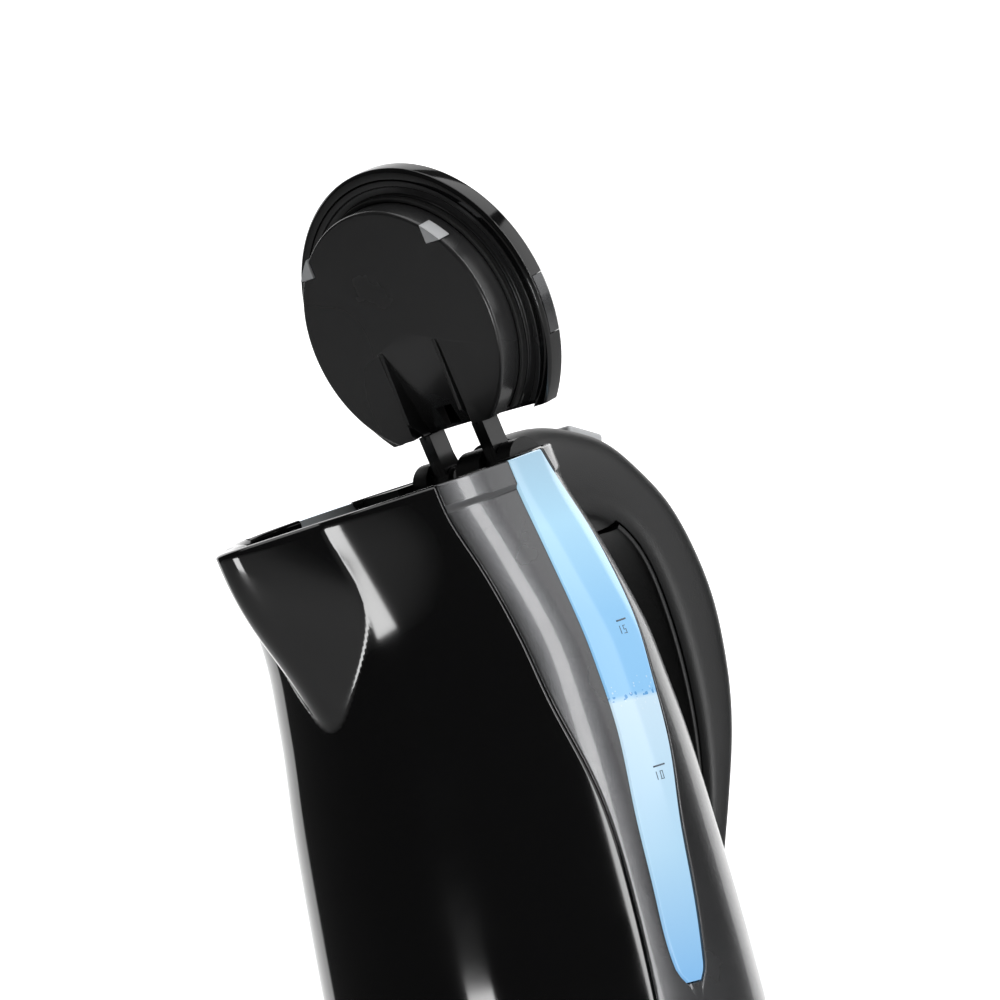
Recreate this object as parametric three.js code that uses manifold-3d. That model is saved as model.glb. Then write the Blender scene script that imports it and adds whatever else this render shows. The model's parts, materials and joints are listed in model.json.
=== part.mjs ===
// Cordless jug kettle with a flip lid, a side water window and a 360 degree power base.
// Millimetres, +Z up. The spout points to -X and the handle to +X. The origin is on the
// connector axis, in the plane that the power base stands on.
import * as THREE from 'three';
import { mergeVertices } from 'three/addons/utils/BufferGeometryUtils.js';
import Module from 'manifold-3d';

const wasm = await Module();
wasm.setup();

// ---- driving dimensions -------------------------------------------------------------
const GAP = 0.3;                 // clearance between neighbouring pieces
const DEG = Math.PI / 180;
const JUG_FOOT_Z = 15.3;         // the jug wall stands here, in the base's dish
const SPOUT_TIP = { x: -98, z: 226 };
const RIM_TILT = 6.1;            // the rim rises towards the handle, degrees
const WALL = 5;                  // jug wall, outside to water
const PANEL = 2.4;               // silver side panel
const FLOOR_Z = 46;              // ledge that carries the heating plate
const HINGE = { x: 28, z: 236 };
const LID_OPEN = 83;             // opening angle of the lid, degrees
const LID_RADIUS = 54;
const LID_CENTRE = 54.5;         // hinge axis to the lid's centre
const DRUM_RADIUS = 43;
const LID_SEAT = 4;              // hinge axis to the lid's underside
const DRUM_FACE = -8;            // hinge axis to the drum's flat face
const HANDLE_HALF = 14;
const BASE_RADIUS = 77;
const STEAM_TUBE = { y: -6.6, z: 216, radius: 2.4 };
const RING_SIDES = 40;

// Jug sections from bottom to top: height, centre, half length, half width, the reach of
// the pouring beak, and the half angle of the beak in degrees.
const SECTIONS = [
  { z: 15.3, cx: 0, ax: 73, by: 73, tip: -60, beak: 55 },
  { z: 60, cx: 0, ax: 72.6, by: 72.6, tip: -60, beak: 55 },
  { z: 107, cx: 0, ax: 70.4, by: 70.4, tip: -60, beak: 55 },
  { z: 141, cx: 0, ax: 68, by: 68, tip: -61, beak: 54 },
  { z: 160, cx: -0.2, ax: 66, by: 65.8, tip: -65, beak: 52 },
  { z: 172, cx: -0.8, ax: 64.9, by: 64.4, tip: -71, beak: 50 },
  { z: 186, cx: -2.6, ax: 63.3, by: 61.8, tip: -79.5, beak: 47 },
  { z: 198, cx: -5.2, ax: 62.8, by: 59.4, tip: -87.5, beak: 44 },
  { z: 211, cx: -9, ax: 62.4, by: 57.4, tip: -94, beak: 41 },
  { z: 226, cx: -14, ax: 61.5, by: 55.5, tip: -98, beak: 38 },
  { z: 252, cx: -18, ax: 61, by: 54, tip: -102, beak: 36 },
];

// Side-view outlines, as x and z.
const PANEL_FRONT = [[-42, 234], [-40, 222], [-34, 205], [-28, 179], [-24, 150], [-18.5, 122],
  [-17, 90], [-18, 60], [-20, 22]];
const PANEL_BACK = [[56, 22], [56, 60], [55, 110], [53, 160], [48, 195], [40, 222], [31, 240]];
const WINDOW_FRONT = [[-10.5, 240], [-10.3, 234], [-6.8, 208], [-4, 175], [-3, 154], [-3.3, 140],
  [-6.1, 113], [-7.5, 85], [-7.5, 60]];
const WINDOW_FOOT = [[-5.5, 54.5], [-1, 52], [3.8, 54.5]];
const WINDOW_BACK = [[6, 60], [11, 85], [15.3, 110], [21, 130], [24.5, 150], [28, 171], [29.5, 188],
  [27.5, 206], [20, 224], [10.8, 240]];
const HANDLE_OUTER = [[37, 246], [50, 247.6], [68, 244.4], [81, 239], [92, 229.5], [102.4, 217.5],
  [110.6, 199.5], [114.6, 180], [114.4, 165], [112, 148], [107, 131.5], [100, 115.5], [91, 97],
  [82, 78], [73, 52]];
const HANDLE_INNER = [[60, 70], [72, 84], [80, 101], [87, 127], [89.5, 154], [87.5, 182], [82, 200],
  [74, 209], [64, 213], [48, 213]];

// ---- materials ----------------------------------------------------------------------
const paint = (color, roughness, metalness = 0, opacity = 1) => new THREE.MeshStandardMaterial({
  color, roughness, metalness, opacity, transparent: opacity < 1,
});
const BLACK_GLOSS = paint(0x0b0b0c, 0.12);
const BLACK_SATIN = paint(0x1b1b1d, 0.42);
const SILVER = paint(0x8d8f92, 0.32, 0.75);
const WINDOW_BLUE = paint(0x8cc8f0, 0.15, 0, 0.7);
const LIGHT_GREY = paint(0xc9cbcd, 0.4);
const STEEL = paint(0xb8babd, 0.25, 1);
const BRASS = paint(0xc9a24a, 0.3, 1);
const RUBBER = paint(0x2a2a2b, 0.85);
const WHITE_PLASTIC = paint(0xe6e4de, 0.5);

// ---- solids -------------------------------------------------------------------------
const kettle = new THREE.Group();
kettle.name = 'kettle';

function toSolid(geometry, matrix) {
  const g = geometry.index ? geometry.clone() : geometry;
  if (matrix) g.applyMatrix4(matrix);
  g.deleteAttribute('normal');
  g.deleteAttribute('uv');
  const merged = mergeVertices(g, 1e-4);
  return new wasm.Manifold(new wasm.Mesh({
    numProp: 3,
    vertProperties: Float32Array.from(merged.attributes.position.array),
    triVerts: Uint32Array.from(merged.index.array),
  }));
}

function toGeometry(solid) {
  const mesh = solid.getMesh();
  const g = new THREE.BufferGeometry();
  g.setAttribute('position', new THREE.BufferAttribute(mesh.vertProperties, 3));
  g.setIndex(new THREE.BufferAttribute(mesh.triVerts, 1));
  g.computeVertexNormals();
  return g;
}

function add(name, solid, material, parent = kettle) {
  const mesh = new THREE.Mesh(toGeometry(solid), material);
  mesh.name = name;
  parent.add(mesh);
  return mesh;
}

const at = (x, y, z) => new THREE.Matrix4().makeTranslation(x, y, z);
const spanBox = (x0, x1, y0, y1, z0, z1) => toSolid(
  new THREE.BoxGeometry(x1 - x0, y1 - y0, z1 - z0),
  at((x0 + x1) / 2, (y0 + y1) / 2, (z0 + z1) / 2),
);

function rodZ(radius, z0, z1, x = 0, y = 0, sides = 24) {
  const g = new THREE.CylinderGeometry(radius, radius, z1 - z0, sides);
  g.rotateX(Math.PI / 2);
  return toSolid(g, at(x, y, (z0 + z1) / 2));
}

function rodY(radius, y0, y1, x = 0, z = 0, sides = 18) {
  const g = new THREE.CylinderGeometry(radius, radius, y1 - y0, sides);
  return toSolid(g, at(x, (y0 + y1) / 2, z));
}

function rodX(radius, x0, x1, y = 0, z = 0, sides = 20) {
  const g = new THREE.CylinderGeometry(radius, radius, x1 - x0, sides);
  g.rotateZ(Math.PI / 2);
  return toSolid(g, at((x0 + x1) / 2, y, z));
}

// A turned piece about Z, from a closed profile of radius and height.
function turned(profile, sides = 40) {
  const points = profile.map(([r, z]) => new THREE.Vector2(r, z));
  if (profile[0][0] !== 0) points.push(points[0].clone());
  const g = new THREE.LatheGeometry(points, sides);
  g.rotateX(Math.PI / 2);
  let solid = toSolid(g);
  if (solid.volume() < 0) solid = toSolid(flipped(g));
  return solid;
}

function flipped(geometry) {
  const g = geometry.clone();
  const index = g.index.array;
  for (let i = 0; i < index.length; i += 3) [index[i], index[i + 1]] = [index[i + 1], index[i]];
  return g;
}

// A side-view outline (x, z) pushed through from y0 to y1.
function sideExtrude(outline, y0, y1) {
  const shape = new THREE.Shape(outline.map(([x, z]) => new THREE.Vector2(x, z)));
  const g = new THREE.ExtrudeGeometry(shape, { depth: y1 - y0, bevelEnabled: false });
  g.rotateX(Math.PI / 2);
  g.translate(0, y1, 0);
  return toSolid(g);
}

const smooth = (points, count) => new THREE.SplineCurve(
  points.map(([x, z]) => new THREE.Vector2(x, z)),
).getPoints(count).map((p) => [p.x, p.y]);

const mirrorY = (solid) => solid.mirror([0, 1, 0]);

// The biggest body of a cut, so that slivers drop away.
function largest(solid) {
  return solid.decompose().reduce((a, b) => (b.volume() > a.volume() ? b : a));
}

// ---- jug body shape -----------------------------------------------------------------
function sectionAt(z) {
  let i = 0;
  while (i < SECTIONS.length - 2 && z > SECTIONS[i + 1].z) i += 1;
  const [a, b] = [SECTIONS[i], SECTIONS[i + 1]];
  const t = Math.min(1, Math.max(0, (z - a.z) / (b.z - a.z)));
  const mix = (key) => a[key] + (b[key] - a[key]) * t;
  return { cx: mix('cx'), ax: mix('ax'), by: mix('by'), tip: mix('tip'), beak: mix('beak') * DEG };
}

// Outline radius of the jug at an angle about its section centre. The beak is a wedge
// that melts into the oval.
function outlineRadius(s, angle, inset) {
  const oval = 1 / Math.hypot(Math.cos(angle) / (s.ax - inset), Math.sin(angle) / (s.by - inset));
  const reach = s.cx - s.tip - inset / Math.sin(s.beak);
  const off = Math.abs(Math.PI - angle);
  const soft = Math.hypot(off, 0.07) - 0.07;
  const crest = Math.PI / 2 - s.beak;
  const wedge = soft < crest
    ? reach * Math.sin(s.beak) / Math.sin(s.beak + soft)
    : reach * Math.sin(s.beak) * Math.max(0, Math.cos(soft - crest));
  const blend = 5;
  return (oval + wedge + Math.hypot(oval - wedge, blend) - blend * blend / (blend + Math.abs(oval - wedge))) / 2;
}

function ring(z, inset) {
  const s = sectionAt(z);
  return Array.from({ length: RING_SIDES }, (_, i) => {
    const angle = (i / RING_SIDES) * 2 * Math.PI;
    const r = outlineRadius(s, angle, inset);
    return new THREE.Vector3(s.cx + r * Math.cos(angle), r * Math.sin(angle), z);
  });
}

function loft(rings) {
  const n = rings[0].length;
  const points = rings.flat();
  const index = [];
  for (let k = 0; k < rings.length - 1; k += 1) {
    for (let i = 0; i < n; i += 1) {
      const [a, b] = [k * n + i, k * n + (i + 1) % n];
      index.push(a, b, b + n, a, b + n, a + n);
    }
  }
  const centre = (r) => r.reduce((sum, p) => sum.add(p), new THREE.Vector3()).divideScalar(n);
  const last = rings.length - 1;
  points.push(centre(rings[0]), centre(rings[last]));
  for (let i = 0; i < n; i += 1) {
    index.push((i + 1) % n, i, points.length - 2);
    index.push(last * n + i, last * n + (i + 1) % n, points.length - 1);
  }
  const g = new THREE.BufferGeometry().setFromPoints(points);
  g.setIndex(index);
  return toSolid(g);
}

function jugSolid(inset, z0 = JUG_FOOT_Z, z1 = 252) {
  const heights = [z0, ...SECTIONS.map((s) => s.z).filter((z) => z > z0 + 2 && z < z1 - 2), z1];
  return loft(heights.map((z) => ring(z, inset)));
}

const rimHeight = (x) => SPOUT_TIP.z + (x - SPOUT_TIP.x) * Math.tan(RIM_TILT * DEG);

// Everything above the rim plane, raised by a clearance.
function aboveRim(raise = 0) {
  const x0 = -140;
  const x1 = 140;
  return sideExtrude([[x0, rimHeight(x0) + raise], [x1, rimHeight(x1) + raise], [x1, 320], [x0, 320]], -110, 110);
}

const jugOuter = jugSolid(0).subtract(aboveRim());
const chamber = jugSolid(WALL, FLOOR_Z, 252);
const underRoom = jugSolid(WALL, 10, FLOOR_Z - 4);
const chamberCore = jugSolid(WALL + GAP, FLOOR_Z, 252).subtract(aboveRim());
const skinLayer = jugOuter.subtract(jugSolid(PANEL, 10, 252));
const skinBed = jugSolid(-2, 10, 252).subtract(jugSolid(PANEL + GAP, 10, 252));

// ---- jug: shell, side panels and water windows --------------------------------------
const panelOutline = [...smooth(PANEL_FRONT, 14), ...smooth(PANEL_BACK, 10)];
const windowOutline = [...smooth(WINDOW_FRONT, 12), ...WINDOW_FOOT, ...smooth(WINDOW_BACK, 14)];

// A closed outline moved outwards all round by a distance.
function grown(outline, distance) {
  const n = outline.length;
  const turn = Math.sign(outline.reduce((sum, [x, z], i) => {
    const [u, w] = outline[(i + 1) % n];
    return sum + x * w - u * z;
  }, 0));
  return outline.map(([x, z], i) => {
    const a = outline[(i + n - 1) % n];
    const b = outline[(i + 1) % n];
    const length = Math.hypot(b[0] - a[0], b[1] - a[1]);
    const step = (distance * turn) / length;
    return [x + (b[1] - a[1]) * step, z - (b[0] - a[0]) * step];
  });
}

const sideZone = (outline) => sideExtrude(outline, -110, -12);
const panelTop = (outline) => outline.map(([x, z]) => [x, z > 228 ? z + 12 : z]);
const panelZone = sideZone(panelTop(panelOutline));
const panelBed = sideZone(panelTop(grown(panelOutline, 0.5)));
const windowZone = sideZone(panelTop(windowOutline));
const windowBed = sideZone(panelTop(grown(windowOutline, 0.5)));

function makeJug() {
  const steamPort = rodX(2.9, 34, 60, STEAM_TUBE.y, STEAM_TUBE.z, 12);
  const catchSlot = spanBox(34, 60, -4.2, 4.2, 219.4, 223.2);
  const leverSlot = spanBox(60, 80, -12, 12, 25, 43);
  let shell = jugOuter.subtract(chamber).subtract(underRoom).subtract(rodZ(57, FLOOR_Z - 6, FLOOR_Z + 2));
  shell = shell.subtract(steamPort).subtract(catchSlot).subtract(leverSlot);
  const throughWall = jugSolid(-2, 10, 252).subtract(jugSolid(WALL + 3, 10, 252));
  for (const mirror of [(s) => s, mirrorY]) {
    shell = shell.subtract(skinBed.intersect(mirror(panelBed)));
    shell = shell.subtract(throughWall.intersect(mirror(windowBed)));
  }
  add('jug_body', shell, BLACK_GLOSS);

  const panel = largest(skinLayer.intersect(panelZone).subtract(windowBed));
  add('side_panel_right', panel, SILVER);
  add('side_panel_left', mirrorY(panel), SILVER);
  const windowWall = jugSolid(0.4).subtract(aboveRim(-0.4)).subtract(jugSolid(WALL - 0.4, 10, 252));
  const pane = largest(windowWall.intersect(windowZone));
  add('water_window_right', pane, WINDOW_BLUE);
  add('water_window_left', mirrorY(pane), WINDOW_BLUE);
}

// ---- jug: spout filter --------------------------------------------------------------
function makeFilter() {
  const [x, half, low, high] = [-55, 22, 186, 214];
  const inside = jugSolid(WALL + 1.2, FLOOR_Z, 252);
  const frame = spanBox(x, x + 3, -half, half, low, high)
    .subtract(spanBox(x - 1, x + 4, -half + 3, half - 3, low + 3, high - 3));
  add('spout_filter_frame', frame.intersect(inside), BLACK_SATIN);
  const mesh = spanBox(x + 1.2, x + 1.8, -half + 3 + GAP, half - 3 - GAP, low + 3 + GAP, high - 3 - GAP);
  add('spout_filter_mesh', mesh, STEEL);
}

// ---- jug: hinge housing, pin, spring and lid catch ----------------------------------
const ARM_MID = 13;              // arm centre from the middle of the kettle
const ARM_HALF = 3.7;            // half width of an arm's barrel
const KNUCKLE_RADIUS = 8;
const KNUCKLE_END = 24;

function makeHinge() {
  const block = chamberCore.intersect(spanBox(13, 60, -60, 60, 210, 229.5));
  const ears = chamberCore.intersect(spanBox(13.2, 60, -60, 60, 229, 260));
  const well = spanBox(8, 34.3, -KNUCKLE_END - 0.5, KNUCKLE_END + 0.5, 229.5, 262);
  const armSlot = ARM_HALF + 0.6;
  let housing = block.add(ears.subtract(well));
  const spans = [
    [-KNUCKLE_END, -ARM_MID - armSlot],
    [-ARM_MID + armSlot, 2.6],
    [ARM_MID + armSlot, KNUCKLE_END],
  ];
  for (const [y0, y1] of spans) {
    housing = housing.add(rodY(KNUCKLE_RADIUS, y0, y1, HINGE.x, HINGE.z).intersect(chamberCore));
  }
  housing = housing.subtract(rodY(2.3, -KNUCKLE_END + 1.5, KNUCKLE_END - 1.5, HINGE.x, HINGE.z));
  housing = housing.subtract(spanBox(0, 60, -4.5, 4.5, 219.5, 227));
  housing = housing.subtract(rodX(2.9, 10, 60, STEAM_TUBE.y, STEAM_TUBE.z, 12));
  add('hinge_housing', housing, BLACK_SATIN);
  add('hinge_pin', rodY(2, -KNUCKLE_END + 2, KNUCKLE_END - 2, HINGE.x, HINGE.z), STEEL);
  const coil = rodY(5, 3.2, 8.2, HINGE.x, HINGE.z).subtract(rodY(2.5, 3, 8.4, HINGE.x, HINGE.z));
  add('lid_spring', coil, STEEL);
}

// ---- handle, lid release and switch lever -------------------------------------------
const handleOuter = smooth(HANDLE_OUTER, 26);
const handleInner = smooth(HANDLE_INNER, 18);
const BUTTON = { x: 76, z: 240.5, tilt: 20 };
const BUTTON_TRAVEL = 3;
const SHELL_THICK = 2.6;
const GRIP_THICK = 3;
const LEVER = { x: 58, z: 34 };

// A polyline moved sideways, to the right of its own direction.
function moved(points, distance) {
  return points.map(([x, z], i) => {
    const a = points[Math.max(0, i - 1)];
    const b = points[Math.min(points.length - 1, i + 1)];
    const length = Math.hypot(b[0] - a[0], b[1] - a[1]);
    return [x + ((b[1] - a[1]) / length) * distance, z - ((b[0] - a[0]) / length) * distance];
  });
}

// A box in the tilted frame of the release button, whose top lies along the handle.
function buttonBox(halfX, halfY, low, high) {
  const g = new THREE.BoxGeometry(halfX * 2, halfY * 2, high - low);
  g.translate(0, 0, (low + high) / 2);
  return toSolid(g);
}

function makeHandle() {
  const keepOff = jugSolid(-GAP).subtract(aboveRim(GAP));
  const inner = HANDLE_HALF - SHELL_THICK;
  const body = sideExtrude([...handleOuter, ...handleInner], -HANDLE_HALF, HANDLE_HALF);
  const hollow = [...moved(handleOuter.slice(3, -3), SHELL_THICK), ...handleInner.slice(2, -2)];
  const buttonWell = buttonBox(8.4, 6.4, -12, 14)
    .rotate([0, BUTTON.tilt, 0])
    .translate([BUTTON.x, 0, BUTTON.z]);
  let shell = body.subtract(keepOff).subtract(sideExtrude(hollow, -inner, inner)).subtract(buttonWell);
  shell = shell.subtract(spanBox(40, 72, -4.2, 4.2, 219.4, 223.2));
  shell = shell.subtract(spanBox(40, 72, STEAM_TUBE.y - 3.2, STEAM_TUBE.y + 3.2, 212.4, 222));
  add('handle_shell', largest(shell), BLACK_SATIN);
  const edge = handleInner.slice(3, -3);
  const strip = [...edge, ...moved(edge, GRIP_THICK).reverse()];
  const jugRoom = jugSolid(-2 * GAP).subtract(aboveRim(GAP));
  const cover = sideExtrude(strip, -inner + GAP, inner - GAP).subtract(jugRoom);
  add('handle_grip_cover', largest(cover), BLACK_SATIN);
}

// The thumb button sinks into the handle and draws the catch bar back.
function makeRelease() {
  const group = new THREE.Group();
  group.position.set(BUTTON.x, 0, BUTTON.z);
  group.rotation.y = BUTTON.tilt * DEG;
  kettle.add(group);
  add('release_button', buttonBox(8, 6, -2.4, 3.4), LIGHT_GREY, group);
  const coil = rodZ(3.2, -7, -2.7, 0, 0, 24).subtract(rodZ(2, -7.2, -2.5, 0, 0, 24));
  add('release_spring', coil, STEEL, group);
  const bar = spanBox(15, 69, -3.6, 3.6, 220, 222.6).add(spanBox(15, 18, -3.6, 3.6, 222, 226));
  add('lid_catch', bar, BLACK_SATIN);
}

function makeLever() {
  const hub = rodY(4, -8, 8, LEVER.x, LEVER.z);
  const arm = spanBox(LEVER.x, 76, -8, 8, LEVER.z - 1.6, LEVER.z + 1.6);
  const paddle = sideExtrude([[75, 31.4], [84, 28.6], [88, 29.6], [86.5, 33], [75, 37]], -11, 11);
  add('switch_lever', hub.add(arm).add(paddle).subtract(rodY(1.8, -9, 9, LEVER.x, LEVER.z)), BLACK_SATIN);
  add('switch_pin', rodY(1.5, -11, 11, LEVER.x, LEVER.z), STEEL);
}

// ---- lid, built closed in the hinge's own frame and then swung open ------------------
// Along the lid x runs from the front, negative, to the hinge axis at 0.
const LID_REAR = 16;
const DRUM_REAR = 18.2;
const LID_EDGE = 12;
const LID_CROWN = 17.5;
const SKIN = 2;
const behind = (u) => spanBox(-u, 60, -90, 90, -40, 60);

// A shallow dome, with a flat underside, about the lid's centre.
function dome(radius, low, edge, crown) {
  const shoulder = radius - 1.2;
  const profile = [[0, low], [radius - 1, low], [radius, low + 1], [radius, edge - 1.6], [shoulder, edge]];
  const steps = 4;
  for (let i = 1; i <= steps; i += 1) {
    const t = i / steps;
    profile.push([shoulder * (1 - t), edge + (crown - edge) * (1 - (1 - t) ** 2)]);
  }
  return turned(profile, 40).translate([-LID_CENTRE, 0, 0]);
}

const disc = (radius, low, high, sides = 40) => rodZ(radius, low, high, -LID_CENTRE, 0, sides);

function makeLid() {
  const group = new THREE.Group();
  group.position.set(HINGE.x, 0, HINGE.z);
  group.rotation.y = (LID_OPEN - RIM_TILT) * DEG;
  kettle.add(group);

  const band = spanBox(-58, -38, -80, 80, -10, 40);
  const bandBed = spanBox(-58.3, -37.7, -80, 80, -10, 40);
  const outer = dome(LID_RADIUS, LID_SEAT, LID_EDGE, LID_CROWN).subtract(behind(LID_REAR));
  const bed = dome(LID_RADIUS - 1.3, LID_SEAT - 1, LID_EDGE - 1.3, LID_CROWN - 1.3);
  const inside = dome(LID_RADIUS - SKIN - 0.6, LID_SEAT - 3, LID_EDGE - 2.4, LID_CROWN - 3.2)
    .subtract(behind(LID_REAR + SKIN));
  const trimRoom = spanBox(-70, -30, -80, 80, 5.6, 40).subtract(bed);
  add('lid_cover', largest(outer.subtract(inside).subtract(trimRoom.intersect(bandBed))), BLACK_GLOSS, group);
  const trimBed = dome(LID_RADIUS - 1, LID_SEAT - 1, LID_EDGE - 1, LID_CROWN - 1);
  const trim = outer.intersect(band).intersect(spanBox(-70, -30, -80, 80, 5.9, 40)).subtract(trimBed);
  add('lid_trim', largest(trim), SILVER, group);

  const pocket = spanBox(-46, 0, -20, 20, -20, -1);
  const walls = spanBox(-48, -DRUM_REAR, -22, 22, DRUM_FACE, 1);
  const flange = disc(LID_RADIUS - 4.2, LID_SEAT, LID_SEAT + 1.6);
  const hollow = disc(DRUM_RADIUS - SKIN, DRUM_FACE + SKIN, 20).subtract(behind(DRUM_REAR + SKIN));
  let liner = flange.add(disc(DRUM_RADIUS, DRUM_FACE, LID_SEAT + 1)).subtract(hollow);
  liner = liner.add(walls.intersect(disc(DRUM_RADIUS, -20, 20)));
  liner = liner.subtract(behind(DRUM_REAR)).subtract(pocket);
  const tabY = 32;
  const around = disc(DRUM_RADIUS + 0.4, -20, 0).subtract(disc(DRUM_RADIUS - 7, -20, 0));
  const tab = spanBox(-92, -79, tabY - 4, tabY + 4, DRUM_FACE - 0.6, -3).intersect(around);
  const tabBed = spanBox(-92.3, -78.7, tabY - 4.3, tabY + 4.3, -20, -2.7);
  liner = liner.subtract(tabBed).subtract(mirrorY(tabBed));
  add('lid_drum', largest(liner), BLACK_GLOSS, group);
  add('lid_snap_tab_left', tab, LIGHT_GREY, group);
  add('lid_snap_tab_right', mirrorY(tab), LIGHT_GREY, group);
  const seal = disc(DRUM_RADIUS + 1.6, 1.4, LID_SEAT - GAP).subtract(disc(DRUM_RADIUS + GAP, 0, 6));
  add('lid_seal', largest(seal.subtract(behind(DRUM_REAR))), RUBBER, group);

  for (const [side, y] of [['left', ARM_MID], ['right', -ARM_MID]]) {
    const fin = sideExtrude([[-45, -1.3], [-38, -7.7], [-23, -7.7], [-18, -4.2], [-3, -4.2], [0, 4.8],
      [-9, 3.4], [-17.6, 3.4], [-17.6, -1.3]], y - 1.6, y + 1.6);
    const barrel = rodY(5.2, y - ARM_HALF, y + ARM_HALF);
    const arm = fin.add(barrel).subtract(rodY(2.3, y - 9, y + 9));
    add(`lid_hinge_arm_${side}`, arm, BLACK_GLOSS, group);
  }
}

// ---- heating, control and the jug's underside ---------------------------------------
// A round rod bent along a path.
function pipe(path, radius, steps) {
  const section = new THREE.Shape().absarc(0, 0, radius, 0, 2 * Math.PI);
  const extrudePath = new THREE.CatmullRomCurve3(path);
  const settings = { steps, extrudePath, curveSegments: 4, bevelEnabled: false };
  return toSolid(new THREE.ExtrudeGeometry(section, settings));
}

function makeUnderside() {
  const seatZ = FLOOR_Z + GAP;
  add('plate_seal', rodZ(61, seatZ, seatZ + 1.6).subtract(rodZ(57.6, seatZ - 1, seatZ + 3)), RUBBER);
  const plateZ = seatZ + 1.6 + GAP;
  add('heating_plate', rodZ(60.6, plateZ, plateZ + 1.4).add(rodZ(54, plateZ + 1, plateZ + 2.4)), STEEL);
  const loop = new THREE.EllipseCurve(0, 0, 40, 40, 40 * DEG, 320 * DEG);
  const path = loop.getPoints(28).map((p) => new THREE.Vector3(p.x, p.y, plateZ - 4));
  add('heating_element', pipe(path, 3.6, 22), STEEL);
  add('thermostat_control', rodZ(24, 36.4, 47, 0, 0, 32), WHITE_PLASTIC);
  add('boil_dry_disc', rodZ(9, 47.2, 47.7, 14, 0, 24), BRASS);
  const socket = rodZ(18, 17, 36).subtract(rodZ(12.6, 10, 33));
  add('connector_socket', socket, BLACK_SATIN);
  let cover = rodZ(67.2, 17.5, 20, 0, 0, 44).subtract(rodZ(19, 10, 30));
  for (let i = 0; i < 3; i += 1) {
    const angle = (60 + i * 120) * DEG;
    const [x, y] = [48 * Math.cos(angle), 48 * Math.sin(angle)];
    cover = cover.add(rodZ(4.5, 19, 34, x, y, 14)).subtract(rodZ(1.9, 10, 40, x, y, 12));
    cover = cover.subtract(rodZ(3.9, 10, 18.9, x, y, 12));
    add(`jug_cover_screw_${i + 1}`, rodZ(3.4, 17.6, 18.6, x, y, 14).add(rodZ(1.6, 18, 33, x, y, 12)), STEEL);
  }
  add('jug_base_cover', cover, BLACK_SATIN);
  add('steam_switch', spanBox(42, 53.5, -14, 14, 23, 40.5), WHITE_PLASTIC);
  for (const [side, sign] of [['left', 1], ['right', -1]]) {
    add(`indicator_light_${side}`, spanBox(-10, 2, sign * 60 - 4, sign * 60 + 4, 30, 41), WINDOW_BLUE);
  }
}

function makeSteamTube() {
  const route = [[30, 216], [48, 216], [66, 218], [84, 215], [97, 203], [101.5, 182], [101, 160],
    [98, 136], [92, 114], [87, 100]];
  const path = route.map(([x, z]) => new THREE.Vector3(x, STEAM_TUBE.y, z));
  add('steam_tube', pipe(path, STEAM_TUBE.radius, 26), WHITE_PLASTIC);
}

// ---- power base ---------------------------------------------------------------------
function makeBase() {
  const R = BASE_RADIUS;
  let shell = turned([[R - 0.5, 3.2], [R, 6], [R - 0.2, 14], [R - 1.2, 18], [R - 2.2, 19], [R - 3, 18.4],
    [R - 3.2, 15], [12.6, 15], [12.6, 12.6], [R - 5, 12.6], [R - 3, 11], [R - 3, 3.2]]);
  shell = shell.subtract(rodX(4, R - 8, R + 4, 0, 8.2));
  let plate = rodZ(R - 3.4, 2.6, 4.6, 0, 0, 44).add(rodZ(22, 0, 3, 0, 0, 32));
  for (let i = 0; i < 3; i += 1) {
    const angle = (60 + i * 120) * DEG;
    const [x, y] = [62 * Math.cos(angle), 62 * Math.sin(angle)];
    add(`rubber_foot_${i + 1}`, rodZ(7, 0, 2.3, x, y, 14), RUBBER);
    const [sx, sy] = [40 * Math.cos(angle), 40 * Math.sin(angle)];
    plate = plate.subtract(rodZ(1.9, -1, 9, sx, sy, 12)).subtract(rodZ(3.9, -1, 3.4, sx, sy, 12));
    shell = shell.add(rodZ(4.4, 4.9, 13, sx, sy, 14)).subtract(rodZ(1.9, 3, 11.5, sx, sy, 12));
    add(`base_screw_${i + 1}`, rodZ(3.4, 2.1, 3.1, sx, sy, 14).add(rodZ(1.6, 3, 10.8, sx, sy, 12)), STEEL);
  }
  add('base_shell', shell, BLACK_GLOSS);
  add('base_plate', plate, BLACK_SATIN);
  const tower = rodZ(12.2, 5, 31, 0, 0, 40).subtract(rodZ(9.2, 22, 40)).add(rodZ(6.4, 20, 31))
    .subtract(rodZ(3.3, 22, 40, 0, 0, 24));
  add('base_connector', tower, BLACK_SATIN);
  add('earth_pin', rodZ(2.6, 22.3, 31.6, 0, 0, 24), BRASS);
  add('contact_ring', rodZ(8.8, 22.3, 29).subtract(rodZ(6.8, 22, 40)), BRASS);
  add('terminal_block', spanBox(26, 40, -9, 9, 4.9, 11.8), WHITE_PLASTIC);
  add('cord_clamp', spanBox(54, 60, -9, 9, 9.6, 12.2), BLACK_SATIN);
}

makeJug();
makeFilter();
makeHinge();
makeHandle();
makeRelease();
makeLever();
makeLid();
makeUnderside();
makeSteamTube();
makeBase();

export default kettle;
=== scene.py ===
"""Looks of the electric kettle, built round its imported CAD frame.

Lengths are in millimetres. Only lights, camera and shader heights are in metres.
"""
import json
import math

import bmesh
import bpy
import numpy as np
from mathutils import Matrix, Vector


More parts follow.
